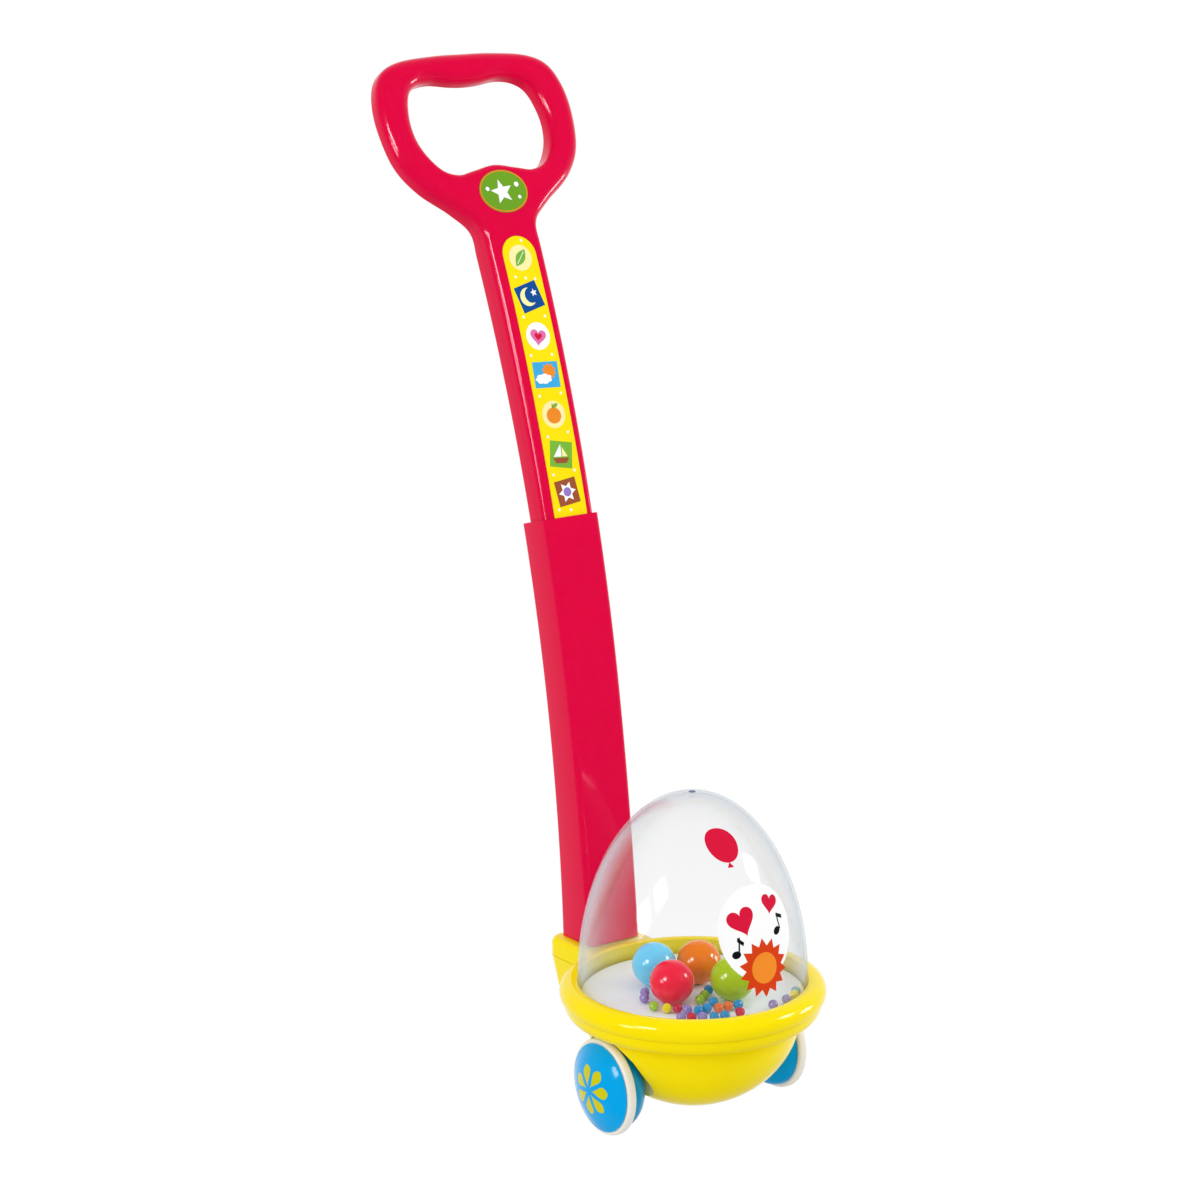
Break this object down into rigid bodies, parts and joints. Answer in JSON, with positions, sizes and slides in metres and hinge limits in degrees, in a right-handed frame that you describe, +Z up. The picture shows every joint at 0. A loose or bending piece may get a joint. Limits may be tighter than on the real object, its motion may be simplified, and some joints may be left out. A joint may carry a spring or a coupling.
{
  "type": "toddler push toy",
  "caption": "Wheeled push toy: a clear dome with loose balls and beads on a hopping floor, over a yellow bowl, pushed by a bent red handle with a hand opening.",
  "frame": {"origin": "on the ground, at the centre of the toy's bounding box seen from above; the dome's axis is 78.1 mm in front of it", "axes": "+Z up, +X to the toy's left as it rolls, -Y the way it rolls, with the handle at +Y"},
  "size_m": [0.1498, 0.306, 0.5818],
  "materials": {
    "red_plastic": "glossy moulded plastic",
    "yellow_plastic": "glossy moulded plastic",
    "clear_plastic": "clear, polished",
    "white_plastic": "satin",
    "black_nylon": "satin",
    "steel": "zinc plated",
    "wheel_blue": "glossy moulded plastic",
    "cream_tyre": "satin, soft",
    "label_yellow": "printed film",
    "badge_green": "printed film",
    "ball_blue": "glossy",
    "ball_red": "glossy",
    "ball_orange": "glossy",
    "ball_green": "glossy",
    "bead_lime": "glossy",
    "bead_yellow": "glossy",
    "bead_crimson": "glossy",
    "bead_purple": "glossy",
    "bead_blue": "glossy",
    "bead_orange": "glossy",
    "bead_teal": "glossy"
  },
  "bodies": {
    "base": {"rim_shell": "yellow_plastic", "bowl_shell": "yellow_plastic", "dome": "clear_plastic", "striker_bridge": "black_nylon", "striker_spring": "steel", "handle_sleeve": "red_plastic", "handle_front_shell": "red_plastic", "handle_rear_shell": "red_plastic", "label_strip": "label_yellow", "oval_badge": "badge_green", "handle_screw_1": "steel", "handle_screw_2": "steel", "handle_screw_3": "steel", "handle_screw_4": "steel", "base_screw_1": "steel", "base_screw_2": "steel", "base_screw_3": "steel", "bridge_screw_front": "steel", "bridge_screw_rear": "steel", "sleeve_screw_left": "steel", "sleeve_screw_right": "steel"},
    "axle_set": {"axle": "steel", "striker_cam": "black_nylon", "wheel_cap_left": "wheel_blue", "wheel_tyre_left": "cream_tyre", "wheel_hub_left": "wheel_blue", "wheel_cap_right": "wheel_blue", "wheel_tyre_right": "cream_tyre", "wheel_hub_right": "wheel_blue"},
    "floor_set": {"hopping_floor": "white_plastic", "striker": "black_nylon"},
    "ball_blue_body": {"ball_blue": "ball_blue"},
    "ball_red_body": {"ball_red": "ball_red"},
    "ball_orange_body": {"ball_orange": "ball_orange"},
    "ball_green_body": {"ball_green": "ball_green"},
    "beads": {"bead_lime_1": "bead_lime", "bead_lime_2": "bead_lime", "bead_lime_3": "bead_lime", "bead_yellow_1": "bead_yellow", "bead_yellow_2": "bead_yellow", "bead_crimson_1": "bead_crimson", "bead_crimson_2": "bead_crimson", "bead_crimson_3": "bead_crimson", "bead_purple_1": "bead_purple", "bead_purple_2": "bead_purple", "bead_purple_3": "bead_purple", "bead_purple_4": "bead_purple", "bead_purple_5": "bead_purple", "bead_purple_6": "bead_purple", "bead_purple_7": "bead_purple", "bead_blue_1": "bead_blue", "bead_blue_2": "bead_blue", "bead_blue_3": "bead_blue", "bead_blue_4": "bead_blue", "bead_blue_5": "bead_blue", "bead_blue_6": "bead_blue", "bead_blue_7": "bead_blue", "bead_orange_1": "bead_orange", "bead_orange_2": "bead_orange", "bead_teal_1": "bead_teal"}
  },
  "joints": [
    {"name": "axle_spin", "type": "hinge", "parent": "base", "child": "axle_set", "pos_m": [0, -0.07633, 0.0274], "axis": [1, 0, 0], "continuous": true},
    {"name": "floor_hop", "type": "slide", "parent": "base", "child": "floor_set", "axis": [0, 0, 1], "range_m": [0, 0.005], "stiffness_N_per_m": 80, "springref_m": -0.01, "deforming": ["striker_spring"]},
    {"name": "ball_blue_hop", "type": "slide", "parent": "floor_set", "child": "ball_blue_body", "axis": [0, 0, 1], "range_m": [0, 0.05]},
    {"name": "ball_red_hop", "type": "slide", "parent": "floor_set", "child": "ball_red_body", "axis": [0, 0, 1], "range_m": [0, 0.05]},
    {"name": "ball_orange_hop", "type": "slide", "parent": "floor_set", "child": "ball_orange_body", "axis": [0, 0, 1], "range_m": [0, 0.05]},
    {"name": "ball_green_hop", "type": "slide", "parent": "floor_set", "child": "ball_green_body", "axis": [0, 0, 1], "range_m": [0, 0.05]},
    {"name": "beads_hop", "type": "slide", "parent": "floor_set", "child": "beads", "axis": [0, 0, 1], "range_m": [0, 0.02]}
  ]
}
